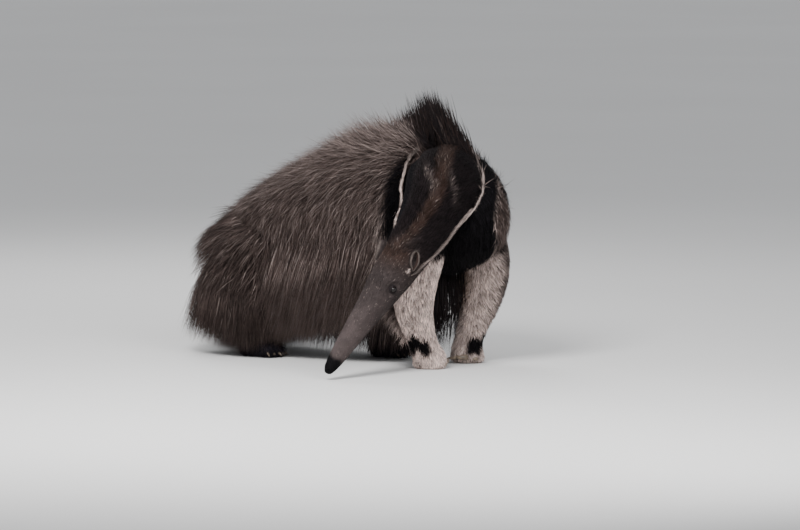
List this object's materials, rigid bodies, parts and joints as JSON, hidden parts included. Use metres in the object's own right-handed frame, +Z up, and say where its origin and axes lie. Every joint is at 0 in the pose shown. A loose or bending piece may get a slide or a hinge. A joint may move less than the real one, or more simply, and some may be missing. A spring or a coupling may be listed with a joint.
{
  "type": "giant anteater",
  "caption": "Life-size still figure of a giant anteater standing with its long head swung down to its right, with a long coarse coat and a plumed tail.",
  "frame": {"origin": "on the floor, at the middle of the footprint of the whole animal", "axes": "+X is the way the trunk faces, +Y is the animal's left, +Z is up"},
  "size_m": [1.4736, 1.1844, 0.7166],
  "materials": {
    "body_coat": "long coarse hair, grizzled grey-brown",
    "short_coat": "short close hair, grey",
    "pale_coat": "dense hair, creamy white with black patches",
    "dark_coat": "dense hair, blackish brown",
    "tail_coat": "very long coarse hanging hair, dark grey-brown",
    "claw": "worn horn, satin",
    "eye": "wet and glossy, near black"
  },
  "bodies": {
    "root": {"torso": "body_coat", "neck": "body_coat", "head": "short_coat", "eye_left": "eye", "ear_left": "short_coat", "foreleg_left": "pale_coat", "fore_claw_left_1": "claw", "fore_claw_left_2": "claw", "fore_claw_left_3": "claw", "fore_claw_left_4": "claw", "hind_leg_left": "dark_coat", "hind_claw_left_1": "claw", "hind_claw_left_2": "claw", "hind_claw_left_3": "claw", "hind_claw_left_4": "claw", "hind_claw_left_5": "claw", "eye_right": "eye", "ear_right": "short_coat", "foreleg_right": "pale_coat", "fore_claw_right_1": "claw", "fore_claw_right_2": "claw", "fore_claw_right_3": "claw", "fore_claw_right_4": "claw", "hind_leg_right": "dark_coat", "hind_claw_right_1": "claw", "hind_claw_right_2": "claw", "hind_claw_right_3": "claw", "hind_claw_right_4": "claw", "hind_claw_right_5": "claw", "tail_base": "tail_coat", "tail_middle": "tail_coat", "tail_end": "tail_coat"}
  },
  "joints": []
}
